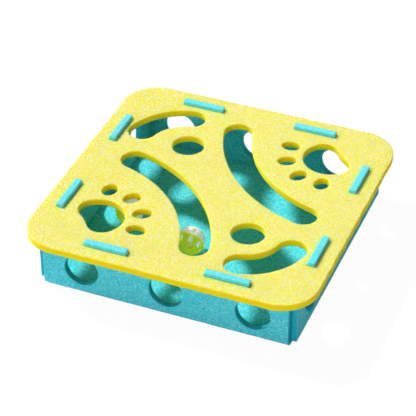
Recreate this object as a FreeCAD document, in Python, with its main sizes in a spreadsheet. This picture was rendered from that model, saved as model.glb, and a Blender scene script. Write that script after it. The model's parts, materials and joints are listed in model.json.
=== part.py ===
import FreeCAD, Part
import os

import Sketcher
from FreeCAD import Placement, Rotation, Vector

# A felt puzzle box for cats: a square tray folded up from thick felt, a lid panel held by felt tabs
# that come up through it, and two small bell balls that a cat fishes for through the openings.
# The underside of the tray's floor is at z = 0, with the middle of the tray over the origin.
# The front wall faces -Y and the right wall faces +X.

# Driving sizes in millimetres, angles in degrees. Places on the lid are counted from its middle.
SIZES = [
    ("felt", 7.5, "thickness of every felt panel"),
    ("base_side", 254, "side of the floor between the inner faces of the walls"),
    ("wall_height", 50, "height of the walls from the floor's top to the lid"),
    ("overhang", 15.5, "how far the lid stands out past the walls"),
    ("lid_corner", 38, "radius of the lid's corners"),
    ("crease_radius", 1.5, "felt skin left at the folds between floor and walls"),
    ("tab_length", 45.5, "length of each tab along its wall"),
    ("tab_spacing", 125.4, "distance between the two tabs of a wall"),
    ("tab_shift", 2.1, "shift of both tabs along their wall"),
    ("tab_stand", 3.5, "how far the tabs stand above the lid"),
    ("slot_gap", 0.5, "clearance all round each tab in its slot"),
    ("wall_hole_diameter", 35.5, "diameter of the round holes in the walls"),
    ("wall_hole_spacing", 89.25, "distance between neighbouring wall holes"),
    ("wall_hole_shift", 2.6, "shift of the three holes along their wall"),
    ("lid_hole_diameter", 34.1, "diameter of the round holes in the lid"),
    ("back_hole_across", 53.1, "back round hole, from the middle to the left"),
    ("back_hole_back", 57.9, "back round hole, from the middle to the back"),
    ("front_hole_across", 57.7, "front round hole, from the middle to the right"),
    ("front_hole_front", 58.2, "front round hole, from the middle to the front"),
    ("long_slot_radius", 154.8, "radius of the long curved slots at their middle line"),
    ("long_slot_width", 29.9, "width of the long curved slots"),
    ("long_slot_half_angle", 30.4, "half the angle between the ends of a long slot"),
    ("right_slot_across", 26.7, "middle of the right long slot, to the right"),
    ("right_slot_back", 29.6, "middle of the right long slot, to the back"),
    ("left_slot_across", 23.5, "middle of the left long slot, to the left"),
    ("left_slot_front", 25.7, "middle of the left long slot, to the front"),
    ("bean_radius", 52.7, "radius of the short curved openings at their middle line"),
    ("bean_width", 30.2, "width of the short curved openings"),
    ("bean_half_angle", 31.9, "half the angle between the ends of a short curved opening"),
    ("back_bean_across", 93.9, "middle of the back left bean, to the left"),
    ("back_bean_back", 90.4, "middle of the back left bean, to the back"),
    ("front_bean_across", 91.9, "middle of the front right bean, to the right"),
    ("front_bean_front", 91.5, "middle of the front right bean, to the front"),
    ("back_paw_across", 90, "middle of the back right paw's pad, to the right"),
    ("back_paw_back", 89.5, "middle of the back right paw's pad, to the back"),
    ("front_paw_across", 89.4, "middle of the front left paw's pad, to the left"),
    ("front_paw_front", 86.7, "middle of the front left paw's pad, to the front"),
    ("pad_nose_radius", 27.9, "radius of the pad's round side"),
    ("pad_nose_out", 1.1, "centre of the pad's round side, out from the pad's middle"),
    ("pad_shoulder_radius", 15.4, "radius of the pad's two shoulders"),
    ("pad_hollow_radius", 55.8, "radius of the hollow in the pad's outer side"),
    ("pad_hollow_out", 14.3, "deepest point of the hollow, out from the pad's middle"),
    ("toe_length", 19.8, "length of a toe opening"),
    ("toe_width", 15.4, "width of a toe opening"),
    ("outer_toe_in", 26, "outer toes, in from the pad's middle"),
    ("outer_toe_aside", 36, "outer toes, aside from the paw's middle line"),
    ("outer_toe_splay", 42.3, "turn of the outer toes from the paw's middle line"),
    ("inner_toe_in", 41.2, "inner toes, in from the pad's middle"),
    ("inner_toe_aside", 13.9, "inner toes, aside from the paw's middle line"),
    ("inner_toe_splay", 15.4, "turn of the inner toes from the paw's middle line"),
    ("ball_radius", 14.5, "outer radius of a ball"),
    ("ball_wall", 1.2, "wall of a ball's shell"),
    ("ball_lip", 1.5, "height of the lip where the two halves of a ball snap together"),
    ("ball_gap", 0.3, "play between a ball and the floor"),
    ("middle_ball_across", 10.5, "middle ball, from the middle to the left"),
    ("middle_ball_front", 38.9, "middle ball, from the middle to the front"),
    ("left_ball_across", 87.8, "left ball, from the middle to the left"),
    ("left_ball_front", 16.8, "left ball, from the middle to the front"),
    ("window_width", 4.3, "width of the windows in a ball's shell"),
    ("rim_window_length", 7.4, "length of the windows near a half shell's rim"),
    ("rim_window_tilt", 67, "angle of those windows from the half shell's pole"),
    ("rim_window_count", 8, "windows near a half shell's rim"),
    ("pole_window_length", 6.8, "length of the windows near a half shell's pole"),
    ("pole_window_tilt", 41, "angle of those windows from the half shell's pole"),
    ("pole_window_count", 4, "windows near a half shell's pole"),
    ("bell_radius", 5.5, "outer radius of the bell in a ball"),
    ("bell_wall", 0.4, "sheet of the bell"),
    ("bell_rim", 0.5, "width of the crimped rim round the bell"),
    ("bell_gap", 0.3, "play between the bell's rim and the ball's shell"),
    ("bell_lean", 25, "lean of the bell's loop from upright"),
    ("loop_radius", 1.3, "radius of the bell's wire loop"),
    ("loop_wire", 0.8, "diameter of the loop's wire"),
    ("slit_width", 0.8, "width of the slit in the bell's cup"),
    ("slit_length", 7, "distance between the two round ends of the slit"),
    ("slit_end_diameter", 2, "diameter of the slit's round ends"),
    ("pellet_radius", 1.6, "radius of the pellet in the bell"),
    ("pellet_gap", 0.2, "play between the pellet and the bell's sheet"),
]

# Turn of each ball about Z, Y and X as it lies in the tray.
BALL_TURNS = {"middle_ball": (-14.5, -27.4, -66.3), "left_ball": (-38, -12, -58)}

FULL_TURN = 360
HALF_TURN = 180
QUARTER_TURN = 90
DIAGONAL = 45
X_AXIS = Vector(1, 0, 0)
Z_AXIS = Vector(0, 0, 1)
ORIGIN = Vector(0, 0, 0)

# Angle about Z that carries the front wall to the place of each wall.
WALL_TURNS = {side: step * QUARTER_TURN for step, side in enumerate(("front", "right", "back", "left"))}

doc = FreeCAD.newDocument("CatPuzzleFeeder")
sheet = doc.addObject("Spreadsheet::Sheet", "Sizes")
for row, (alias, value, meaning) in enumerate(SIZES, start=1):
    sheet.set(f"A{row}", meaning)
    sheet.set(f"B{row}", str(value))
    sheet.setAlias(f"B{row}", alias)
doc.recompute()


def number(expression):
    """Give the present value of an expression in the sheet's sizes."""
    return float(sheet.evalExpression(expression))


def new_body(name):
    body = doc.addObject("PartDesign::Body", name)
    body.Label = name
    return body


def origin_feature(body, role):
    return next(item for item in body.Origin.OriginFeatures if item.Role == role)


def new_sketch(body, name, plane="XY_Plane"):
    sketch = body.newObject("Sketcher::SketchObject", name)
    sketch.AttachmentSupport = (origin_feature(body, plane), [""])
    sketch.MapMode = "FlatFace"
    return sketch


def move_sketch(sketch, across, up, turn=0):
    """Set a sketch's own zero point and turn on its plane."""
    sketch.AttachmentOffset = Placement(ORIGIN, Rotation(Z_AXIS, turn))
    sketch.setExpression("AttachmentOffset.Base.x", across)
    sketch.setExpression("AttachmentOffset.Base.y", up)


def pin(sketch, kind, *where):
    """Add a measured constraint; its last value is an expression in the sheet's sizes."""
    expression = where[-1]
    index = sketch.addConstraint(Sketcher.Constraint(kind, *where[:-1], number(expression)))
    sketch.setExpression(f"Constraints[{index}]", expression)


def pin_point(sketch, geometry, vertex, across, up):
    pin(sketch, "DistanceX", geometry, vertex, across)
    pin(sketch, "DistanceY", geometry, vertex, up)


def fix(sketch, kind, *where):
    sketch.addConstraint(Sketcher.Constraint(kind, *where))


def draw_outline(sketch, start, moves):
    """Draw a closed outline of level and upright lines.

    start is the first corner, and each move is ("across" or "up", the place it runs to).
    The last move comes back to the first corner.
    """
    here = [number(start[0]), number(start[1])]
    lines = []
    for direction, target in moves:
        there = [number(target), here[1]] if direction == "across" else [here[0], number(target)]
        lines.append(sketch.addGeometry(Part.LineSegment(Vector(*here, 0), Vector(*there, 0))))
        here = there
    for line, following in zip(lines, lines[1:] + lines[:1]):
        fix(sketch, "Coincident", line, 2, following, 1)
    for line, (direction, target) in zip(lines, moves):
        fix(sketch, "Horizontal" if direction == "across" else "Vertical", line)
        pin(sketch, "DistanceX" if direction == "across" else "DistanceY", line, 2, target)


def draw_rectangle(sketch, left, bottom, right, top):
    draw_outline(sketch, (left, bottom), [("across", right), ("up", top), ("across", left), ("up", bottom)])


def draw_circle(sketch, across, up, diameter):
    centre = Vector(number(across), number(up), 0)
    circle = sketch.addGeometry(Part.Circle(centre, Z_AXIS, number(diameter) / 2))
    pin_point(sketch, circle, 3, across, up)
    pin(sketch, "Diameter", circle, diameter)


def add_arc(sketch, centre, radius, start, end):
    """Add an arc about a point, counter-clockwise between two angles in degrees."""
    circle = Part.Circle(centre, Z_AXIS, radius)
    low, high = (FreeCAD.Units.Quantity(f"{angle} deg").getValueAs("rad").Value for angle in (start, end))
    return sketch.addGeometry(Part.ArcOfCircle(circle, low, high))


def pad_up(body, sketch, name, length):
    pad = body.newObject("PartDesign::Pad", name)
    pad.Profile = sketch
    pad.setExpression("Length", length)
    doc.recompute()
    return pad


def cut_through(body, sketch, name):
    """Cut a sketch's outline all the way through the material in front of its plane."""
    pocket = body.newObject("PartDesign::Pocket", name)
    pocket.Profile = sketch
    pocket.Type = "ThroughAll"
    pocket.Reversed = True
    doc.recompute()
    return pocket


def repeat_round(body, feature, name, count):
    """Repeat a cut at even steps round the body's Z axis; count is an expression."""
    pattern = body.newObject("PartDesign::PolarPattern", name)
    pattern.Originals = [feature]
    pattern.Axis = (origin_feature(body, "Z_Axis"), [""])
    pattern.Angle = FULL_TURN
    pattern.setExpression("Occurrences", count)
    body.Tip = pattern
    doc.recompute()


def place(item, across, along, up):
    item.setExpression("Placement.Base.x", across)
    item.setExpression("Placement.Base.y", along)
    item.setExpression("Placement.Base.z", up)


# The tray: a floor and four walls, one felt blank that is scored underneath and folded up.
HALF_BASE = "Sizes.base_side / 2"
WALL_TOP = "Sizes.wall_height"
LID_UNDERSIDE = "Sizes.felt + Sizes.wall_height"


def make_base_panel():
    body = new_body("base_panel")
    sketch = new_sketch(body, "base_outline")
    draw_rectangle(sketch, f"-{HALF_BASE}", f"-{HALF_BASE}", HALF_BASE, HALF_BASE)
    pad_up(body, sketch, "base_felt", "Sizes.felt")
    return body


def place_on_side(body, side):
    """Carry a body that is drawn for the front to a side of the tray, at the floor's top."""
    body.Placement = Placement(ORIGIN, Rotation(Z_AXIS, WALL_TURNS[side]))
    outward = {"front": ("0", "-1"), "right": ("1", "0"), "back": ("0", "1"), "left": ("-1", "0")}[side]
    place(body, f"{outward[0]} * {HALF_BASE}", f"{outward[1]} * {HALF_BASE}", "Sizes.felt")


def tab_end(side_of_wall, end):
    """Place of a tab's end along its wall; both numbers are -1 or 1."""
    return f"Sizes.tab_shift + {side_of_wall} * Sizes.tab_spacing / 2 + {end} * Sizes.tab_length / 2"


def make_wall(side):
    """Make a wall with two tabs on its top edge and a row of three round holes."""
    body = new_body(f"{side}_wall")
    tab_top = f"{WALL_TOP} + Sizes.felt + Sizes.tab_stand"
    sketch = new_sketch(body, f"{side}_wall_outline", "XZ_Plane")
    moves = [("across", HALF_BASE), ("up", WALL_TOP)]
    for side_of_wall in (1, -1):
        moves += [("across", tab_end(side_of_wall, 1)), ("up", tab_top)]
        moves += [("across", tab_end(side_of_wall, -1)), ("up", WALL_TOP)]
    moves += [("across", f"-{HALF_BASE}"), ("up", "0")]
    draw_outline(sketch, (f"-{HALF_BASE}", "0"), moves)
    pad_up(body, sketch, f"{side}_wall_felt", "Sizes.felt")

    holes = new_sketch(body, f"{side}_wall_hole_circles", "XZ_Plane")
    for step in (-1, 0, 1):
        across = f"Sizes.wall_hole_shift + {step} * Sizes.wall_hole_spacing"
        draw_circle(holes, across, f"{WALL_TOP} / 2", "Sizes.wall_hole_diameter")
    cut_through(body, holes, f"{side}_wall_holes")
    place_on_side(body, side)
    return body


def make_crease(side):
    """Make the felt skin of a fold: a quarter-round strip under a wall, along the floor's edge."""
    body = new_body(f"{side}_crease")
    sketch = new_sketch(body, f"{side}_crease_outline", "YZ_Plane")
    radius = number("Sizes.crease_radius")
    arc = add_arc(sketch, ORIGIN, radius, HALF_TURN, HALF_TURN + QUARTER_TURN)
    level = sketch.addGeometry(Part.LineSegment(ORIGIN, Vector(-radius, 0, 0)))
    upright = sketch.addGeometry(Part.LineSegment(Vector(0, -radius, 0), ORIGIN))
    fix(sketch, "Coincident", arc, 3, -1, 1)
    fix(sketch, "Coincident", level, 1, -1, 1)
    fix(sketch, "Coincident", upright, 2, -1, 1)
    fix(sketch, "Coincident", level, 2, arc, 1)
    fix(sketch, "Coincident", upright, 1, arc, 2)
    fix(sketch, "Horizontal", level)
    fix(sketch, "Vertical", upright)
    pin(sketch, "Radius", arc, "Sizes.crease_radius")
    strip = pad_up(body, sketch, f"{side}_crease_felt", "Sizes.base_side")
    strip.Midplane = True
    place_on_side(body, side)
    return body


# The lid: one square panel with rounded corners and all its openings.


def draw_rounded_square(sketch, half_side, corner):
    half = number(half_side)
    radius = number(corner)
    inner = half - radius
    sides = [(1, 0), (0, 1), (-1, 0), (0, -1)]
    lines = []
    arcs = []
    for x, y in sides:
        start = Vector(x * half + y * inner, y * half - x * inner, 0)
        end = Vector(x * half - y * inner, y * half + x * inner, 0)
        lines.append(sketch.addGeometry(Part.LineSegment(start, end)))
    for turn, (x, y) in enumerate(sides):
        centre = Vector((x - y) * inner, (y + x) * inner, 0)
        start = turn * QUARTER_TURN
        arcs.append(add_arc(sketch, centre, radius, start, start + QUARTER_TURN))
    for line, arc, following in zip(lines, arcs, lines[1:] + lines[:1]):
        fix(sketch, "Tangent", line, 2, arc, 1)
        fix(sketch, "Tangent", arc, 2, following, 1)
        pin(sketch, "Radius", arc, corner)
    for line, (x, y) in zip(lines, sides):
        fix(sketch, "Vertical" if x else "Horizontal", line)
        pin(sketch, "DistanceX" if x else "DistanceY", line, 1, f"{x + y} * ({half_side})")


def cut_curved_slot(body, name, middle, toward, radius, width, half_angle):
    """Cut a slot that follows an arc and has round ends.

    middle is the point of its middle line on the lid's diagonal, and toward is the direction, in
    degrees, from the arc's centre to that point.
    """
    sketch = new_sketch(body, f"{name}_outline")
    centre_across = f"{middle[0]} - {radius} * cos({toward} deg)"
    centre_up = f"{middle[1]} - {radius} * sin({toward} deg)"
    move_sketch(sketch, centre_across, centre_up, toward)
    line_radius = number(radius)
    half_width = number(f"{width} / 2")
    angle = number(half_angle)
    outer = add_arc(sketch, ORIGIN, line_radius + half_width, -angle, angle)
    inner = add_arc(sketch, ORIGIN, line_radius - half_width, -angle, angle)
    ends = []
    for sign in (1, -1):
        centre = Rotation(Z_AXIS, sign * angle).multVec(Vector(line_radius, 0, 0))
        first = angle if sign == 1 else HALF_TURN - angle
        ends.append(add_arc(sketch, centre, half_width, first, first + HALF_TURN))
    high, low = ends
    fix(sketch, "Coincident", outer, 3, -1, 1)
    fix(sketch, "Coincident", inner, 3, -1, 1)
    fix(sketch, "Tangent", outer, 2, high, 1)
    fix(sketch, "Tangent", high, 2, inner, 2)
    fix(sketch, "Tangent", inner, 1, low, 1)
    fix(sketch, "Tangent", low, 2, outer, 1)
    pin(sketch, "Radius", outer, f"{radius} + {width} / 2")
    pin(sketch, "Radius", inner, f"{radius} - {width} / 2")
    reach = f"{radius} * sin({half_angle} * 1 deg)"
    pin(sketch, "DistanceY", high, 3, reach)
    pin(sketch, "DistanceY", low, 3, f"-1 * {reach}")
    cut_through(body, sketch, name)


def cut_paw_pad(body, name, middle, toward):
    """Cut a paw's main pad: a round nose towards the toes and a slightly hollow outer side."""
    sketch = new_sketch(body, f"{name}_outline")
    move_sketch(sketch, middle[0], middle[1], toward)
    nose_radius = number("Sizes.pad_nose_radius")
    shoulder_radius = number("Sizes.pad_shoulder_radius")
    hollow_radius = number("Sizes.pad_hollow_radius")
    nose_x = number("Sizes.pad_nose_out")
    hollow_x = number("Sizes.pad_hollow_out + Sizes.pad_hollow_radius")

    # The shoulders lie inside the nose circle and outside the hollow's circle, touching both.
    from_nose = nose_radius - shoulder_radius
    from_hollow = hollow_radius + shoulder_radius
    span = hollow_x - nose_x
    along = (span**2 + from_nose**2 - from_hollow**2) / (2 * span)
    aside = (from_nose**2 - along**2) ** 0.5
    high = Vector(nose_x + along, aside, 0)
    low = Vector(nose_x + along, -aside, 0)
    nose_angle = angle_of(high - Vector(nose_x, 0, 0))
    hollow_angle = angle_of(high - Vector(hollow_x, 0, 0))

    nose = add_arc(sketch, Vector(nose_x, 0, 0), nose_radius, nose_angle, FULL_TURN - nose_angle)
    low_arc = add_arc(sketch, low, shoulder_radius, -nose_angle, HALF_TURN - hollow_angle)
    hollow = add_arc(sketch, Vector(hollow_x, 0, 0), hollow_radius, hollow_angle, FULL_TURN - hollow_angle)
    high_arc = add_arc(sketch, high, shoulder_radius, hollow_angle - HALF_TURN, nose_angle)
    fix(sketch, "Tangent", nose, 2, low_arc, 1)
    fix(sketch, "Tangent", low_arc, 2, hollow, 2)
    fix(sketch, "Tangent", hollow, 1, high_arc, 1)
    fix(sketch, "Tangent", high_arc, 2, nose, 1)
    pin_point(sketch, nose, 3, "Sizes.pad_nose_out", "0")
    pin_point(sketch, hollow, 3, "Sizes.pad_hollow_out + Sizes.pad_hollow_radius", "0")
    pin(sketch, "Radius", nose, "Sizes.pad_nose_radius")
    pin(sketch, "Radius", hollow, "Sizes.pad_hollow_radius")
    for shoulder in (low_arc, high_arc):
        pin(sketch, "Radius", shoulder, "Sizes.pad_shoulder_radius")
    cut_through(body, sketch, name)


def angle_of(vector):
    """Give a vector's direction in degrees, from 0 to 360."""
    angle = vector.getAngle(X_AXIS)
    degrees = FreeCAD.Units.Quantity(f"{angle} rad").getValueAs("deg").Value
    return degrees if vector.y >= 0 else FULL_TURN - degrees


def cut_toe(body, name, middle, toward, toe, side_of_paw):
    """Cut one oval toe; toe is "inner" or "outer", and side_of_paw is -1 or 1."""
    sketch = new_sketch(body, f"{name}_outline")
    inward = f"Sizes.{toe}_toe_in"
    aside = f"({side_of_paw} * Sizes.{toe}_toe_aside)"
    cosine = f"cos({toward} deg)"
    sine = f"sin({toward} deg)"
    across = f"{middle[0]} - {inward} * {cosine} - {aside} * {sine}"
    back = f"{middle[1]} - {inward} * {sine} + {aside} * {cosine}"
    move_sketch(sketch, across, back)
    splay = f"{toward} - {side_of_paw} * Sizes.{toe}_toe_splay"
    sketch.setExpression("AttachmentOffset.Rotation.Angle", f"({splay}) * 1 deg")
    length = number("Sizes.toe_length")
    width = number("Sizes.toe_width")
    oval = Part.Ellipse(Vector(length / 2, 0, 0), Vector(0, width / 2, 0), ORIGIN)
    ellipse = sketch.addGeometry(oval)
    sketch.exposeInternalGeometry(ellipse)
    long_axis = ellipse + 1
    short_axis = ellipse + 2
    fix(sketch, "Coincident", ellipse, 3, -1, 1)
    fix(sketch, "Horizontal", long_axis)
    pin(sketch, "Distance", long_axis, "Sizes.toe_length")
    pin(sketch, "Distance", short_axis, "Sizes.toe_width")
    cut_through(body, sketch, name)


def make_top_panel():
    body = new_body("top_panel")
    half_lid = f"{HALF_BASE} + Sizes.felt + Sizes.overhang"
    outline = new_sketch(body, "lid_outline")
    draw_rounded_square(outline, half_lid, "Sizes.lid_corner")
    pad_up(body, outline, "lid_felt", "Sizes.felt")

    # Two slots for the front wall's tabs, repeated for each wall.
    tab_slots = new_sketch(body, "tab_slot_outlines")
    for side_of_wall in (-1, 1):
        left = f"{tab_end(side_of_wall, -1)} - Sizes.slot_gap"
        right = f"{tab_end(side_of_wall, 1)} + Sizes.slot_gap"
        outer_edge = f"-{HALF_BASE} - Sizes.felt - Sizes.slot_gap"
        inner_edge = f"-{HALF_BASE} + Sizes.slot_gap"
        draw_rectangle(tab_slots, left, outer_edge, right, inner_edge)
    front_slots = cut_through(body, tab_slots, "front_tab_slots")
    repeat_round(body, front_slots, "tab_slots", f"{len(WALL_TURNS)}")

    round_holes = new_sketch(body, "round_hole_circles")
    back_hole = ("-Sizes.back_hole_across", "Sizes.back_hole_back")
    front_hole = ("Sizes.front_hole_across", "-Sizes.front_hole_front")
    for middle in (back_hole, front_hole):
        draw_circle(round_holes, *middle, "Sizes.lid_hole_diameter")
    cut_through(body, round_holes, "round_holes")

    long_slot = ("Sizes.long_slot_radius", "Sizes.long_slot_width", "Sizes.long_slot_half_angle")
    right_slot = ("Sizes.right_slot_across", "Sizes.right_slot_back")
    left_slot = ("-Sizes.left_slot_across", "-Sizes.left_slot_front")
    cut_curved_slot(body, "right_long_slot", right_slot, DIAGONAL + HALF_TURN, *long_slot)
    cut_curved_slot(body, "left_long_slot", left_slot, DIAGONAL, *long_slot)

    bean = ("Sizes.bean_radius", "Sizes.bean_width", "Sizes.bean_half_angle")
    back_bean = ("-Sizes.back_bean_across", "Sizes.back_bean_back")
    front_bean = ("Sizes.front_bean_across", "-Sizes.front_bean_front")
    cut_curved_slot(body, "back_bean", back_bean, DIAGONAL + QUARTER_TURN, *bean)
    cut_curved_slot(body, "front_bean", front_bean, DIAGONAL - QUARTER_TURN, *bean)

    back_paw = ("Sizes.back_paw_across", "Sizes.back_paw_back")
    front_paw = ("-Sizes.front_paw_across", "-Sizes.front_paw_front")
    for name, middle, toward in (("back", back_paw, DIAGONAL), ("front", front_paw, DIAGONAL + HALF_TURN)):
        cut_paw_pad(body, f"{name}_paw_pad", middle, toward)
        for toe in ("inner", "outer"):
            for side_of_paw, hand in ((1, "left"), (-1, "right")):
                cut_toe(body, f"{name}_paw_{toe}_{hand}_toe", middle, toward, toe, side_of_paw)
    place(body, "0", "0", LID_UNDERSIDE)
    return body


# The balls: two half shells that snap together round a loose crimped bell with a pellet in it.
BALL_INSIDE = "Sizes.ball_radius - Sizes.ball_wall"
BALL_LAP = "Sizes.ball_radius - Sizes.ball_wall / 2"
BALL_HEIGHT = "Sizes.felt + Sizes.ball_gap + Sizes.ball_radius"
BELL_CRIMP = "Sizes.bell_radius + Sizes.bell_rim"
BELL_INSIDE = "Sizes.bell_radius - Sizes.bell_wall"
BELL_HEIGHT = f"{BALL_HEIGHT} - ({BALL_INSIDE} - Sizes.bell_gap - ({BELL_CRIMP}))"
PELLET_HEIGHT = f"{BELL_HEIGHT} - ({BELL_INSIDE} - Sizes.pellet_gap - Sizes.pellet_radius)"


def revolve_dome(body, name, outer, inner, start, moves):
    """Revolve a dome between two radii about Z, with a stepped rim.

    The rim starts on the inner arc at a height and runs by moves to the outer arc, as in
    draw_outline. The last move's target is None, because it ends where it meets the outer arc.
    """
    sketch = new_sketch(body, f"{name}_profile", "XZ_Plane")
    outer_radius = number(outer)
    inner_radius = number(inner)
    start_height = number(start)
    here = Vector((inner_radius**2 - start_height**2) ** 0.5, start_height, 0)
    corners = [here]
    for direction, target in moves:
        if target is None:
            here = Vector((outer_radius**2 - here.y**2) ** 0.5, here.y, 0)
        elif direction == "across":
            here = Vector(number(target), here.y, 0)
        else:
            here = Vector(here.x, number(target), 0)
        corners.append(here)

    outer_arc = add_arc(sketch, ORIGIN, outer_radius, angle_of(corners[-1]), QUARTER_TURN)
    inner_arc = add_arc(sketch, ORIGIN, inner_radius, angle_of(corners[0]), QUARTER_TURN)
    top = Part.LineSegment(Vector(0, outer_radius, 0), Vector(0, inner_radius, 0))
    axis_line = sketch.addGeometry(top)
    rim = [sketch.addGeometry(Part.LineSegment(a, b)) for a, b in zip(corners, corners[1:])]
    for arc in (outer_arc, inner_arc):
        fix(sketch, "Coincident", arc, 3, -1, 1)
    fix(sketch, "Coincident", outer_arc, 2, axis_line, 1)
    fix(sketch, "Coincident", inner_arc, 2, axis_line, 2)
    fix(sketch, "PointOnObject", outer_arc, 2, -2)
    fix(sketch, "Vertical", axis_line)
    fix(sketch, "Coincident", inner_arc, 1, rim[0], 1)
    fix(sketch, "Coincident", outer_arc, 1, rim[-1], 2)
    for line, following in zip(rim, rim[1:]):
        fix(sketch, "Coincident", line, 2, following, 1)
    pin(sketch, "Radius", outer_arc, outer)
    pin(sketch, "Radius", inner_arc, inner)
    pin(sketch, "DistanceY", rim[0], 1, start)
    for line, (direction, target) in zip(rim, moves):
        fix(sketch, "Horizontal" if direction == "across" else "Vertical", line)
        if target is not None:
            pin(sketch, "DistanceX" if direction == "across" else "DistanceY", line, 2, target)

    revolution = body.newObject("PartDesign::Revolution", name)
    revolution.Profile = sketch
    revolution.ReferenceAxis = (sketch, ["V_Axis"])
    revolution.Angle = FULL_TURN
    doc.recompute()
    return revolution


def cut_window(body, name, tilt, length, count, turn):
    """Cut a ring of round-ended windows; their length runs from the rim towards the pole."""
    sketch = new_sketch(body, f"{name}_outline")
    facing = f"create(<<rotation>>; create(<<vector>>; 0; 0; 1); {turn})"
    leaning = f"create(<<rotation>>; create(<<vector>>; 0; 1; 0); {tilt})"
    sketch.setExpression("AttachmentOffset.Rotation", f"{facing} * {leaning}")
    radius = number("Sizes.window_width / 2")
    reach = number(f"({length} - Sizes.window_width) / 2")
    low = add_arc(sketch, Vector(-reach, 0, 0), radius, QUARTER_TURN, QUARTER_TURN + HALF_TURN)
    high = add_arc(sketch, Vector(reach, 0, 0), radius, -QUARTER_TURN, QUARTER_TURN)
    under = sketch.addGeometry(Part.LineSegment(Vector(-reach, -radius, 0), Vector(reach, -radius, 0)))
    over = sketch.addGeometry(Part.LineSegment(Vector(reach, radius, 0), Vector(-reach, radius, 0)))
    fix(sketch, "Tangent", low, 2, under, 1)
    fix(sketch, "Tangent", under, 2, high, 1)
    fix(sketch, "Tangent", high, 2, over, 1)
    fix(sketch, "Tangent", over, 2, low, 1)
    fix(sketch, "Horizontal", under)
    pin(sketch, "Radius", low, "Sizes.window_width / 2")
    pin_point(sketch, low, 3, f"-1 * ({length} - Sizes.window_width) / 2", "0")
    pin(sketch, "DistanceX", high, 3, f"({length} - Sizes.window_width) / 2")
    window = cut_through(body, sketch, f"{name}_first")
    repeat_round(body, window, name, count)


def make_half_shell(ball, colour, start, moves, flip):
    """Make half a ball's shell; the pole windows stand over the gaps between the rim windows."""
    body = new_body(f"{ball}_{colour}_half")
    revolve_dome(body, f"{body.Label}_dome", "Sizes.ball_radius", BALL_INSIDE, start, moves)
    half_step = f"{HALF_TURN} / Sizes.rim_window_count"
    for ring, turn in (("rim", "0"), ("pole", half_step)):
        tilt = f"Sizes.{ring}_window_tilt"
        length = f"Sizes.{ring}_window_length"
        cut_window(body, f"{body.Label}_{ring}_windows", tilt, length, f"Sizes.{ring}_window_count", turn)
    body.Placement = Placement(ORIGIN, Rotation(*BALL_TURNS[ball]) * Rotation(X_AXIS, flip))
    place(body, f"-Sizes.{ball}_across", f"-Sizes.{ball}_front", BALL_HEIGHT)
    return body


def make_bell_half(ball, part, flip):
    """Make the bell's cap or cup: a thin dome with a flat rim that is crimped to its partner."""
    body = new_body(f"{ball}_bell_{part}")
    rim = [("across", BELL_CRIMP), ("up", "Sizes.bell_wall"), ("across", None)]
    revolve_dome(body, f"{body.Label}_dome", "Sizes.bell_radius", BELL_INSIDE, "0", rim)
    if part == "cap":
        loop = body.newObject("PartDesign::AdditiveTorus", f"{body.Label}_loop")
        loop.AttachmentSupport = (origin_feature(body, "XZ_Plane"), [""])
        loop.MapMode = "FlatFace"
        loop.setExpression("AttachmentOffset.Base.y", "Sizes.bell_radius + Sizes.loop_radius")
        loop.setExpression("Radius1", "Sizes.loop_radius")
        loop.setExpression("Radius2", "Sizes.loop_wire / 2")
    else:
        slit = new_sketch(body, f"{body.Label}_slit_outline")
        half_width = "Sizes.slit_width / 2"
        half_length = "Sizes.slit_length / 2"
        draw_rectangle(slit, f"-{half_length}", f"-{half_width}", half_length, half_width)
        cut_through(body, slit, f"{body.Label}_slit")
        ends = new_sketch(body, f"{body.Label}_slit_end_circles")
        for sign in ("-1", "1"):
            draw_circle(ends, f"{sign} * {half_length}", "0", "Sizes.slit_end_diameter")
        cut_through(body, ends, f"{body.Label}_slit_ends")
    doc.recompute()
    lean = Rotation(X_AXIS, number("Sizes.bell_lean") + flip)
    body.Placement = Placement(ORIGIN, lean)
    body.setExpression("Placement.Rotation.Angle", f"(Sizes.bell_lean + {flip}) * 1 deg")
    place(body, f"-Sizes.{ball}_across", f"-Sizes.{ball}_front", BELL_HEIGHT)
    return body


def make_pellet(ball):
    pellet = doc.addObject("Part::Sphere", f"{ball}_pellet")
    pellet.Label = f"{ball}_pellet"
    pellet.setExpression("Radius", "Sizes.pellet_radius")
    place(pellet, f"-Sizes.{ball}_across", f"-Sizes.{ball}_front", PELLET_HEIGHT)
    return pellet


def make_ball(ball):
    """Make a ball: the green half has a lip that sits in a step inside the white half's rim."""
    lip = [("up", "-Sizes.ball_lip"), ("across", BALL_LAP), ("up", "0"), ("across", None)]
    step = [("across", BALL_LAP), ("up", "0"), ("across", None)]
    return [
        make_half_shell(ball, "green", "0", lip, HALF_TURN),
        make_half_shell(ball, "white", "Sizes.ball_lip", step, 0),
        make_bell_half(ball, "cap", 0),
        make_bell_half(ball, "cup", HALF_TURN),
        make_pellet(ball),
    ]


pieces = [make_base_panel(), make_top_panel()]
for side in WALL_TURNS:
    pieces += [make_wall(side), make_crease(side)]
for ball in BALL_TURNS:
    pieces += make_ball(ball)
doc.recompute()

for item in doc.Objects:
    if "Invalid" in item.State or "Error" in item.State:
        raise RuntimeError(f"{item.Label} could not be built: {item.State}")
for piece in pieces:
    if piece.Shape.isNull() or not piece.Shape.isValid():
        raise RuntimeError(f"{piece.Label} has no valid shape")

os.makedirs("parts", exist_ok=True)
for piece in pieces:
    piece.Shape.exportStep(f"parts/{piece.Label}.step")
    print(f"{piece.Label}: {len(piece.Shape.Solids)} solid, {piece.Shape.Volume:.1f} mm3")
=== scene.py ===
import json
import math

import bmesh
import bpy
import numpy as np
from mathutils import Matrix, Vector, noise


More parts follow.
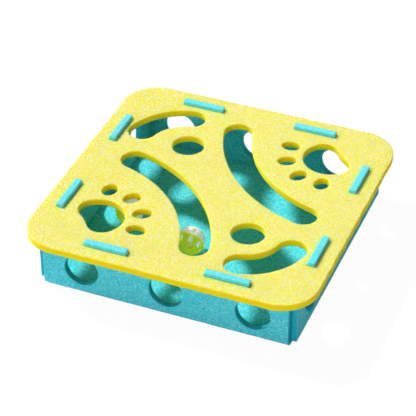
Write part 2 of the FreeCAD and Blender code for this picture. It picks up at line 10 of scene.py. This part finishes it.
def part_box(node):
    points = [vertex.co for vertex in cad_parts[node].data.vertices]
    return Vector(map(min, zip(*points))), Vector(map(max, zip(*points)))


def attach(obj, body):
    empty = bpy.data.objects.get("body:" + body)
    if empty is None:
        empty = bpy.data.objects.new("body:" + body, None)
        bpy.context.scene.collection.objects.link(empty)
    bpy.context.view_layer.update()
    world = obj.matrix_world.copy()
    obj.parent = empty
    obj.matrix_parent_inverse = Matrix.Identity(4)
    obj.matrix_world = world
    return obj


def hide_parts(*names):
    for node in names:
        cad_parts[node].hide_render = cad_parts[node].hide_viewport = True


# A felt puzzle box for cats: a teal tray of thick needled felt, a yellow felt lid with openings, and
# two bell balls that lie in the tray. Everything is in metres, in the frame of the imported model.
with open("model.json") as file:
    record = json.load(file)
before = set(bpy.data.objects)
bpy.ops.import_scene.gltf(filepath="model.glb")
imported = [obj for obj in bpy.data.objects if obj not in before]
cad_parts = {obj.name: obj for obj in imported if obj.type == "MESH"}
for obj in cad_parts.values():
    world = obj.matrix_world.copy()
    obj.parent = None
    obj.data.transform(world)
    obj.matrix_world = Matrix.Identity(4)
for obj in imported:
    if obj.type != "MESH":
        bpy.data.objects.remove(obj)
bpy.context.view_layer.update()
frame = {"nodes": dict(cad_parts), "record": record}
SLOTS = {part["node"]: part["material_slot"] for part in frame["record"]["subparts"]}
BODIES = {
    node: body
    for body, nodes in frame["record"]["behaviour"]["bodies"].items()
    for node in nodes
}

MM = 0.001
X, Y, Z = range(3)


# Node trees

# The middle of a noise's colour, from which it wanders to both sides.
NOISE_MIDDLE = (0.5, 0.5, 0.5)


class Shader:
    """The node tree of a material or of the world, with short calls to add nodes and link them."""

    def __init__(self, owner):
        self.owner = owner
        owner.use_nodes = True
        self.tree = owner.node_tree
        self.tree.nodes.clear()

    def feed(self, socket, value):
        """Link a socket to another node's output, or set it to a value. A colour is three shares."""
        if isinstance(value, bpy.types.NodeSocket):
            self.tree.links.new(value, socket)
        elif socket.type == "RGBA":
            socket.default_value = (*value, 1.0)
        else:
            socket.default_value = value

    def node(self, kind, settings=None, **inputs):
        """Add a node and feed its inputs, whose names are written with underscores for spaces."""
        made = self.tree.nodes.new(kind)
        for setting, value in (settings or {}).items():
            setattr(made, setting, value)
        for name, value in inputs.items():
            self.feed(made.inputs[name.replace("_", " ")], value)
        return made

    def node_in_order(self, kind, settings, *inputs):
        """Add a node whose inputs share names, so that they are fed by their order."""
        made = self.node(kind, settings)
        for socket, value in zip(made.inputs, inputs):
            self.feed(socket, value)
        return made

    def math(self, operation, *values):
        made = self.node_in_order("ShaderNodeMath", {"operation": operation}, *values)
        return made.outputs["Value"]

    def vector_math(self, operation, *values):
        made = self.node_in_order("ShaderNodeVectorMath", {"operation": operation}, *values)
        return made.outputs["Vector"]

    def place(self):
        """The point on the piece, in its own coordinates, so that patterns move with it."""
        return self.node("ShaderNodeTexCoord").outputs["Object"]

    def reach(self, vector, axis):
        """How far a vector reaches along the axis X, Y or Z."""
        return self.node("ShaderNodeSeparateXYZ", Vector=vector).outputs[axis]

    def turned(self, where, turn, stretch=(1.0, 1.0, 1.0)):
        """Coordinates turned by angles, in radians, and drawn out for streaks along one direction."""
        mapping = self.node("ShaderNodeMapping", Vector=where, Rotation=turn, Scale=stretch)
        return mapping.outputs["Vector"]

    def warped(self, where, scale, amount):
        """Coordinates that wander by amount, so that streaks along them curl."""
        drift = self.node("ShaderNodeTexNoise", Vector=where, Scale=scale, Detail=1.0)
        centred = self.vector_math("SUBTRACT", drift.outputs["Color"], NOISE_MIDDLE)
        return self.vector_math("MULTIPLY_ADD", centred, (amount, amount, amount), where)

    def noise(self, where, scale, detail=2.0, roughness=0.5, distortion=0.0):
        """Soft noise from 0 to 1, with scale lumps in a metre."""
        made = self.node("ShaderNodeTexNoise", Vector=where, Scale=scale, Detail=detail,
                         Roughness=roughness, Distortion=distortion)
        return made.outputs["Fac"]

    def ramp(self, value, start, end):
        """A share that runs smoothly from 0 where value is at start to 1 where it is at end."""
        made = self.node("ShaderNodeMapRange", {"interpolation_type": "SMOOTHSTEP"}, Value=value,
                         From_Min=start, From_Max=end)
        return made.outputs["Result"]

    def spread(self, share, low, high):
        """A number that runs evenly from low to high as share runs from 0 to 1."""
        made = self.node("ShaderNodeMapRange", Value=share, To_Min=low, To_Max=high)
        return made.outputs["Result"]

    def mix(self, share, first, second):
        """A colour that is the first where share is 0 and the second where it is 1."""
        made = self.node("ShaderNodeMix", {"data_type": "RGBA"}, Factor=share, A=first, B=second)
        return made.outputs["Result"]

    def surface(self, kind, **inputs):
        """Add a node that makes a surface or a surround, and give what it makes."""
        return self.node(kind, **inputs).outputs[0]

    def mix_surfaces(self, share, first, second):
        made = self.node_in_order("ShaderNodeMixShader", None, share, first, second)
        return made.outputs["Shader"]

    def bump(self, height, distance, strength):
        made = self.node("ShaderNodeBump", Height=height, Distance=distance, Strength=strength)
        return made.outputs["Normal"]

    def seen(self):
        """1 for what is seen straight, in a mirror or through glass, and 0 for light on the object."""
        rays = self.node("ShaderNodeLightPath")
        share = rays.outputs["Is Camera Ray"]
        for kind in ("Is Glossy Ray", "Is Transmission Ray"):
            share = self.math("MAXIMUM", share, rays.outputs[kind])
        return share

    def finish(self, surface, output="ShaderNodeOutputMaterial"):
        self.node(output, Surface=surface)
        return self.owner


# Felt

# Each felt's colours, as linear shares of the light that comes back. A broad face has deep and face
# fibres, pale tufts and pores painted darker, as painted shade between the fibres. A cut edge has
# cut_deep and cut fibres in a colour of painted shade and light: a more saturated orange on the lid
# and a darker teal on the tray. A tab is painted paler towards its top, as a painted highlight. glow
# is how far red, green and blue light wander inside, in millimetres.
LID_FELT = {
    "face": (0.87, 0.76, 0.055),
    "pale": (0.88, 0.79, 0.54),
    "deep": (0.80, 0.78, 0.006),
    "hollow": (0.42, 0.38, 0.01),
    "cut": (1.0, 0.73, 0.003),
    "cut_deep": (1.0, 0.64, 0.002),
    "sheen": (0.95, 0.85, 0.25),
    "glow": (10.0, 5.0, 0.2),
}
TRAY_FELT = {
    "face": (0.065, 0.75, 0.90),
    "pale": (0.25, 0.91, 1.0),
    "deep": (0.022, 0.56, 0.70),
    "hollow": (0.015, 0.36, 0.47),
    "cut": (0.02, 0.46, 0.60),
    "cut_deep": (0.012, 0.35, 0.47),
    "painted_tip_highlight": (0.26, 0.93, 0.95),
    "sheen": (0.25, 0.91, 1.0),
    "glow": (0.2, 0.8, 0.8),
}
# Painted light and shade: the floor's broad faces are painted brighter and the walls' darker than the
# tray's colours, as lit and shaded copies of one felt.
FLOOR_PAINTED_LIGHT = 1.05
WALL_PAINTED_SHADE = 0.90

# How many lumps or strands of each pattern lie in a metre.
GRAIN_SCALE = 760
CLOUD_SCALE = 190
CURL_SCALE = 260
STRAND_SCALE = 1400
PORE_SCALE = 1000
# How far the strands curl, and the turn and stretch of the two sets of them, which cross.
CURL = 5 * MM
STRAND_SETS = [
    ((0.3, 0.4, 0.6), (1.0, 0.25, 1.0)),
    ((0.5, -0.3, -0.5), (0.25, 1.0, 1.0)),
]
PORE_TURN = (0.2, 0.7, -0.4)
# Where each pattern's colour begins to show and where it shows in full.
FACE_FIBRES = (0.44, 0.57)
TUFTS = (0.605, 0.665)
PORES = (0.5, 0.66)
CUT_FIBRES = (0.35, 0.6)
# How much the clouds gather the tufts, and how strong the painted shade in the pores is.
CLOUDING = 0.12
PORE_SHADE_SHARE = 0.35
# The painted shade and light of a cut edge begins where the normal's reach along the flat axis is the
# first of these, and is full at the second.
CUT_TURN = (0.85, 0.55)
# A wall's cut edges lose their painted shade at the lid's underside. From there up, its tabs are
# painted paler towards their tops, as a painted highlight where light falls on them.
LID_LOW, LID_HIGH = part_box("top_panel")
TAB_CUT_SHADE_HEIGHTS = (LID_LOW.z + 0.5 * MM, LID_LOW.z - 1.5 * MM)
TAB_HIGHLIGHT_HEIGHTS = (LID_LOW.z + 0.5 * MM, LID_HIGH.z + 1.0 * MM)
TIP_HIGHLIGHT_SHARE = 0.3
# The relief of the fibres: how deep it is, how strong it shows, and the strands' part in it.
RELIEF_DEPTH = 0.7 * MM
RELIEF_STRENGTH = 0.7
STRAND_RELIEF = 0.8


def shaded(felt, shade):
    """The same felt with its broad faces painted brighter or darker by shade: a painted lit or shaded
    copy.
    """
    changed = dict(felt)
    for name in ("face", "pale", "deep", "hollow"):
        changed[name] = tuple(min(1.0, share * shade) for share in felt[name])
    return changed


def felt_strands(shader, where):
    """Two crossed sets of curling strands."""
    curled = shader.warped(where, CURL_SCALE, CURL)
    sets = [
        shader.noise(shader.turned(curled, turn, stretch), STRAND_SCALE, distortion=0.4)
        for turn, stretch in STRAND_SETS
    ]
    return shader.math("MAXIMUM", *sets)


def felt_face(shader, where, felt, grain, strands):
    """The heathered colour of a broad face."""
    colour = shader.mix(shader.ramp(grain, *FACE_FIBRES), felt["deep"], felt["face"])
    clouds = shader.noise(where, CLOUD_SCALE, detail=3)
    tufts = shader.math("ADD", strands, shader.math("MULTIPLY", clouds, CLOUDING))
    colour = shader.mix(shader.ramp(tufts, *TUFTS), colour, felt["pale"])
    # The pores are painted darker: painted shade between the fibres.
    pores = shader.noise(shader.turned(where, PORE_TURN), PORE_SCALE, detail=1)
    share = shader.math("MULTIPLY", shader.ramp(pores, *PORES), PORE_SHADE_SHARE)
    return shader.mix(share, colour, felt["hollow"])


def felt_edges(shader, where, felt, grain, flat, colour):
    """The colour with the cut edges' painted shade and light and, on felt with tabs, the tabs' tops
    painted paler as a painted highlight.
    """
    normal = shader.node("ShaderNodeTexCoord").outputs["Normal"]
    # The cut edges, found by their normal, are painted their own colour: painted shade and light on
    # the edges.
    edge = shader.ramp(shader.math("ABSOLUTE", shader.reach(normal, flat)), *CUT_TURN)
    cut = shader.mix(shader.ramp(grain, *CUT_FIBRES), felt["cut_deep"], felt["cut"])
    if "painted_tip_highlight" not in felt:
        return shader.mix(edge, colour, cut)
    height = shader.reach(where, "Z")
    edge = shader.math("MULTIPLY", edge, shader.ramp(height, *TAB_CUT_SHADE_HEIGHTS))
    colour = shader.mix(edge, colour, cut)
    # The tabs' tops, which stand in the light above the lid, are painted paler: a painted highlight.
    share = shader.math("MULTIPLY", shader.ramp(height, *TAB_HIGHLIGHT_HEIGHTS), TIP_HIGHLIGHT_SHARE)
    return shader.mix(share, colour, felt["painted_tip_highlight"])


def felt_material(name, felt, flat):
    """Needled felt, matt with a soft sheen; flat is the axis that its broad faces look along."""
    shader = Shader(bpy.data.materials.new(name))
    where = shader.place()
    grain = shader.noise(where, GRAIN_SCALE, roughness=0.7)
    strands = felt_strands(shader, where)
    colour = felt_face(shader, where, felt, grain, strands)
    colour = felt_edges(shader, where, felt, grain, flat, colour)
    relief = shader.math("ADD", grain, shader.math("MULTIPLY", strands, STRAND_RELIEF))
    cloth = shader.surface(
        "ShaderNodeBsdfPrincipled",
        Base_Color=colour,
        Normal=shader.bump(relief, RELIEF_DEPTH, RELIEF_STRENGTH),
        Roughness=1.0,
        Specular_IOR_Level=0.15,
        Sheen_Weight=0.25,
        Sheen_Roughness=0.6,
        Sheen_Tint=felt["sheen"],
        Subsurface_Weight=1.0,
        Subsurface_Radius=felt["glow"],
        Subsurface_Scale=1 * MM,
    )
    return shader.finish(cloth)


# Plastic

LIME = (0.80, 0.94, 0.02)
LIME_DEEP = (0.68, 0.90, 0.02)
PEARL = (0.98, 0.90, 0.92)
PEARL_DEEP = (0.93, 0.84, 0.86)
# Painted light: a faint glow that both shells give in their own colour, on top of what falls on them.
PAINTED_GLOW = 0.15
# How far light wanders inside the shells, and the share of that for red, green and blue.
SHELL_GLOW = 3 * MM
SHELL_GLOW_SHARES = (1.0, 1.0, 0.4)
# Flow marks and orange peel: their lumps in a metre, and how deep and strong the peel stands.
FLOW_SCALE = 160
FLOW_MARKS = (0.3, 0.7)
PEEL_SCALE = 1400
PEEL_DEPTH = 0.05 * MM
PEEL_STRENGTH = 0.25
PLASTIC_ROUGHNESS = (0.22, 0.34)


def plastic_material(name, face, deep):
    """Thin bright-dyed plastic: slight flow marks in the colour, a fine orange-peel surface and a
    faint painted glow.
    """
    shader = Shader(bpy.data.materials.new(name))
    where = shader.place()
    flow = shader.noise(where, FLOW_SCALE, detail=3, distortion=1.2)
    peel = shader.noise(where, PEEL_SCALE)
    plastic = shader.surface(
        "ShaderNodeBsdfPrincipled",
        Base_Color=shader.mix(shader.ramp(flow, *FLOW_MARKS), deep, face),
        Roughness=shader.spread(peel, *PLASTIC_ROUGHNESS),
        Normal=shader.bump(peel, PEEL_DEPTH, PEEL_STRENGTH),
        Subsurface_Weight=0.8,
        Subsurface_Radius=SHELL_GLOW_SHARES,
        Subsurface_Scale=SHELL_GLOW,
        # The shell glows faintly in its own colour: painted light.
        Emission_Color=face,
        Emission_Strength=PAINTED_GLOW,
    )
    return shader.finish(plastic)


# Metal

NICKEL = (0.80, 0.80, 0.79)
NICKEL_DEEP = (0.62, 0.62, 0.60)
STEEL = (0.50, 0.50, 0.50)
STEEL_DEEP = (0.34, 0.34, 0.34)
# Drawing marks and stains: their lumps in a metre, and how the marks lie and how deep they are.
MARK_SCALE = 2200
MARK_TURN = (0.0, 0.0, 0.4)
MARK_STRETCH = (1.0, 1.0, 0.1)
MARK_DEPTH = 0.02 * MM
MARK_STRENGTH = 0.3
STAIN_SCALE = 300
STAINS = (0.35, 0.7)
# How much rougher the metal is where it is rubbed.
RUBBED = 0.2


def metal_material(name, face, deep, roughness):
    """Stamped and plated sheet metal with faint drawing marks."""
    shader = Shader(bpy.data.materials.new(name))
    where = shader.place()
    marks = shader.noise(shader.turned(where, MARK_TURN, MARK_STRETCH), MARK_SCALE)
    stain = shader.noise(where, STAIN_SCALE)
    metal = shader.surface(
        "ShaderNodeBsdfPrincipled",
        Base_Color=shader.mix(shader.ramp(stain, *STAINS), deep, face),
        Roughness=shader.spread(marks, roughness, roughness + RUBBED),
        Normal=shader.bump(marks, MARK_DEPTH, MARK_STRENGTH),
        Metallic=1.0,
    )
    return shader.finish(metal)


def dress(piece, material):
    """Give a piece one material, in place of any that it has."""
    piece.data.materials.clear()
    piece.data.materials.append(material)


# Felt panels

SIDES = ("front", "right", "back", "left")
# The size of the faces in each panel's mesh, and the widths and depths of the lumps in its surface.
LID_GRAIN = 0.8 * MM
LID_LUMPS = [(16 * MM, 0.14 * MM), (3.5 * MM, 0.09 * MM)]
FLOOR_GRAIN = 2.2 * MM
FLOOR_LUMPS = [(18 * MM, 0.15 * MM), (6 * MM, 0.10 * MM)]
WALL_GRAIN = 0.9 * MM
WALL_LUMPS = [(14 * MM, 0.16 * MM), (3.5 * MM, 0.10 * MM)]
# Where in the noise each panel's lumps start. Each wall's seed is one more than the last one's.
LID_SEED = 3.1
FLOOR_SEED = 5.3
WALL_SEED = 7.7
SEED_DIRECTION = (1.0, 1.7, 2.3)
# How far each pass of softening moves a point towards the middle of its neighbours.
SOFTENING = 0.5
# How far a soft edge sinks into the panel that it presses on.
PRESSED = 1.0 * MM
# Points closer than this count as one point, or as lying on one face.
CLOSE = 0.001 * MM
# The lid's rim: how far in from it the points move, the width of its waves and how far they reach.
RIM_WIDTH = 12 * MM
RIM_WAVE = 11 * MM
RIM_DEPTH = 0.55 * MM


def press_on(solid, axis, both_ends):
    """Move a panel's end faces out along an axis, so that its soft edge presses on its neighbour."""
    low = min(point.co[axis] for point in solid.verts)
    high = max(point.co[axis] for point in solid.verts)
    for point in solid.verts:
        if point.co[axis] < low + CLOSE:
            point.co[axis] -= PRESSED
        elif both_ends and point.co[axis] > high - CLOSE:
            point.co[axis] += PRESSED


def read_solid(node, presses=()):
    """A node's solid with its corners welded; presses holds what press_on does to it."""
    solid = bmesh.new()
    solid.from_mesh(frame["nodes"][node].data)
    bmesh.ops.remove_doubles(solid, verts=solid.verts, dist=CLOSE)
    for axis, both_ends in presses:
        press_on(solid, axis, both_ends)
    return solid


def joined_mesh(name, solids):
    """One mesh of several solids, which are freed."""
    joined = bmesh.new()
    for solid in solids:
        part = bpy.data.meshes.new("part")
        solid.to_mesh(part)
        solid.free()
        joined.from_mesh(part)
        bpy.data.meshes.remove(part)
    mesh = bpy.data.meshes.new(name)
    joined.to_mesh(mesh)
    joined.free()
    return mesh


def soft_copy(name, solids, grain, softness):
    """Join solids in one piece of small even faces, with edges softened softness times."""
    mesh = joined_mesh(name, solids)
    piece = bpy.data.objects.new(name, mesh)
    bpy.context.scene.collection.objects.link(piece)
    remesh = piece.modifiers.new("even faces", "REMESH")
    remesh.mode = "VOXEL"
    remesh.voxel_size = grain
    soften = piece.modifiers.new("soft edges", "SMOOTH")
    soften.factor = SOFTENING
    soften.iterations = softness
    shaped = piece.evaluated_get(bpy.context.evaluated_depsgraph_get())
    piece.data = bpy.data.meshes.new_from_object(shaped)
    piece.modifiers.clear()
    bpy.data.meshes.remove(mesh)
    piece.data.name = name
    return piece


def read_vectors(items, name):
    """One vector of each item, as the rows of an array."""
    values = np.zeros(len(items) * 3, np.float32)
    items.foreach_get(name, values)
    return values.reshape(-1, 3).astype(float)


def write_points(mesh, points):
    mesh.vertices.foreach_set("co", points.astype(np.float32).ravel())
    mesh.update()


def rumple(mesh, seed, lumps):
    """Move a panel's surface in and out by soft noise; lumps pairs each width with its depth."""
    points = read_vectors(mesh.vertices, "co")
    normals = read_vectors(mesh.vertex_normals, "vector")
    start = Vector([seed * share for share in SEED_DIRECTION])
    shift = np.zeros(len(points))
    for width, depth in lumps:
        shift += depth * np.array([noise.noise(Vector(point / width) + start) for point in points])
    write_points(mesh, points + normals * shift[:, None])


def ruffle_rim(mesh):
    """Let the lid's cut outer edge wander in and out a little along its length."""
    inner = (LID_HIGH.x - LID_LOW.x) / 2 - RIM_WIDTH
    points = read_vectors(mesh.vertices, "co")
    for index, point in enumerate(points):
        reach = max(abs(point[X]), abs(point[Y])) - inner
        if reach > 0:
            share = min(1.0, reach / RIM_WIDTH)
            level = Vector((point[X], point[Y], 0))
            out = np.array(level.normalized())
            points[index] = point + out * noise.noise(level / RIM_WAVE) * RIM_DEPTH * share
    write_points(mesh, points)


def finish_felt(piece, nodes, seed, lumps, material):
    """Give a panel its lumps and its material, and let it stand for its nodes."""
    rumple(piece.data, seed, lumps)
    for face in piece.data.polygons:
        face.use_smooth = True
    dress(piece, material)
    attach(piece, BODIES[nodes[0]])
    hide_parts(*nodes)


def make_lid():
    """The lid, whose outer edge wanders a little."""
    piece = soft_copy("lid_felt", [read_solid("top_panel")], LID_GRAIN, softness=1)
    ruffle_rim(piece.data)
    material = felt_material("lid_felt", LID_FELT, "Z")
    finish_felt(piece, ["top_panel"], LID_SEED, LID_LUMPS, material)


def make_tray_floor():
    """The tray's floor, whose four edges press on the walls."""
    presses = [(X, True), (Y, True)]
    piece = soft_copy("floor_felt", [read_solid("base_panel", presses)], FLOOR_GRAIN, softness=2)
    material = felt_material("tray_felt", shaded(TRAY_FELT, FLOOR_PAINTED_LIGHT), "Z")
    finish_felt(piece, ["base_panel"], FLOOR_SEED, FLOOR_LUMPS, material)


def make_wall(side, along, seed, material):
    """A wall with the felt skin of its fold; its ends and its foot press on the panels beside it."""
    wall, crease = f"{side}_wall", f"{side}_crease"
    presses = [(along, True), (Z, False)]
    solids = [read_solid(wall, presses), read_solid(crease)]
    piece = soft_copy(f"{side}_wall_felt", solids, WALL_GRAIN, softness=2)
    finish_felt(piece, [wall, crease], seed, WALL_LUMPS, material)


def make_walls():
    """Four walls: the front and back ones run along X and look along Y, and the others cross them."""
    felt = shaded(TRAY_FELT, WALL_PAINTED_SHADE)
    materials = {
        X: felt_material("front_and_back_felt", felt, "Y"),
        Y: felt_material("side_felt", felt, "X"),
    }
    for index, side in enumerate(SIDES):
        along = X if side in ("front", "back") else Y
        make_wall(side, along, WALL_SEED + index, materials[along])


# Balls


def dress_balls():
    """Give the balls' solids the material of their slot."""
    materials = {
        "green_plastic": plastic_material("lime_plastic", LIME, LIME_DEEP),
        "white_plastic": plastic_material("pearl_plastic", PEARL, PEARL_DEEP),
        "bell_steel": metal_material("nickel_plate", NICKEL, NICKEL_DEEP, roughness=0.14),
        "pellet_steel": metal_material("plain_steel", STEEL, STEEL_DEEP, roughness=0.30),
    }
    for node, slot in SLOTS.items():
        if slot in materials:
            dress(frame["nodes"][node], materials[slot])


# Floor and surround

WHITE = (1.0, 1.0, 1.0)
FLOOR_SIZE = 30.0
FLOOR_DROP = 0.2 * MM
FLOOR_GREY = (0.65, 0.65, 0.65)
# The floor's own light where it is seen, and its share of what is seen. The rest shows the shadow.
FLOOR_GLOW = 1.04
FLOOR_SEEN = 0.92
# How brightly the surround lights the object.
AMBIENT = 0.16


def make_floor():
    """A white floor that keeps a pale shadow under the object."""
    shader = Shader(bpy.data.materials.new("white_floor"))
    diffuse = shader.surface("ShaderNodeBsdfDiffuse", Color=FLOOR_GREY)
    glow = shader.surface("ShaderNodeEmission", Color=WHITE, Strength=FLOOR_GLOW)
    share = shader.math("MULTIPLY", shader.seen(), FLOOR_SEEN)
    surface = shader.mix_surfaces(share, diffuse, glow)
    bpy.ops.mesh.primitive_plane_add(size=FLOOR_SIZE, location=(0, 0, -FLOOR_DROP))
    floor = bpy.context.object
    floor.name = "studio_floor"
    floor.data.materials.append(shader.finish(surface))


def make_world():
    """An even pale surround that is white where it is seen or mirrored."""
    shader = Shader(bpy.data.worlds.new("studio"))
    light = shader.surface("ShaderNodeBackground", Color=WHITE, Strength=AMBIENT)
    plain = shader.surface("ShaderNodeBackground", Color=WHITE, Strength=1.0)
    surface = shader.mix_surfaces(shader.seen(), light, plain)
    bpy.context.scene.world = shader.finish(surface, "ShaderNodeOutputWorld")


# Lamps

# Each lamp's direction, strength and softness: the key stands high on the left, the fill low in
# front and the edge lamp low on the right.
LAMPS = {
    "key": ((-0.69, 0.194, 0.697), 3.85, math.radians(10)),
    "fill": ((-0.16, -0.93, 0.30), 1.30, math.radians(24)),
    "edge": ((0.94, 0.20, 0.27), 0.34, math.radians(30)),
}


def make_lamps():
    """Three soft lamps that shine from far off."""
    for name, (source, strength, softness) in LAMPS.items():
        data = bpy.data.lights.new(name, "SUN")
        data.energy = strength
        data.angle = softness
        lamp = bpy.data.objects.new(name, data)
        lamp.rotation_euler = Vector(source).to_track_quat("Z", "Y").to_euler()
        bpy.context.scene.collection.objects.link(lamp)


# Camera

# The camera stands in front, to the right and above, with a long lens. Its right, down and forward
# are the picture's own.
CAMERA_PLACE = Vector((0.53464, -1.33799, 1.12277))
CAMERA_RIGHT = Vector((0.9272, 0.3746, -0.0016))
CAMERA_DOWN = Vector((0.2240, -0.5578, -0.7992))
CAMERA_FORWARD = Vector((-0.3003, 0.7406, -0.6011))
# The focal length in pixels of a picture that is FRAME_PIXELS wide.
FOCAL_PIXELS = 1781
FRAME_PIXELS = 416
SENSOR_MM = 36


def make_camera():
    """The camera that the picture is taken with."""
    data = bpy.data.cameras.new("camera")
    data.sensor_width = SENSOR_MM
    data.lens = FOCAL_PIXELS / FRAME_PIXELS * SENSOR_MM
    camera = bpy.data.objects.new("camera", data)
    turn = Matrix((CAMERA_RIGHT, -CAMERA_DOWN, -CAMERA_FORWARD)).transposed().to_4x4()
    camera.matrix_world = Matrix.Translation(CAMERA_PLACE) @ turn
    bpy.context.scene.collection.objects.link(camera)
    bpy.context.scene.camera = camera


make_lid()
make_tray_floor()
make_walls()
dress_balls()
make_floor()
make_world()
make_lamps()
make_camera()
bpy.context.scene.view_settings.view_transform = "Standard"
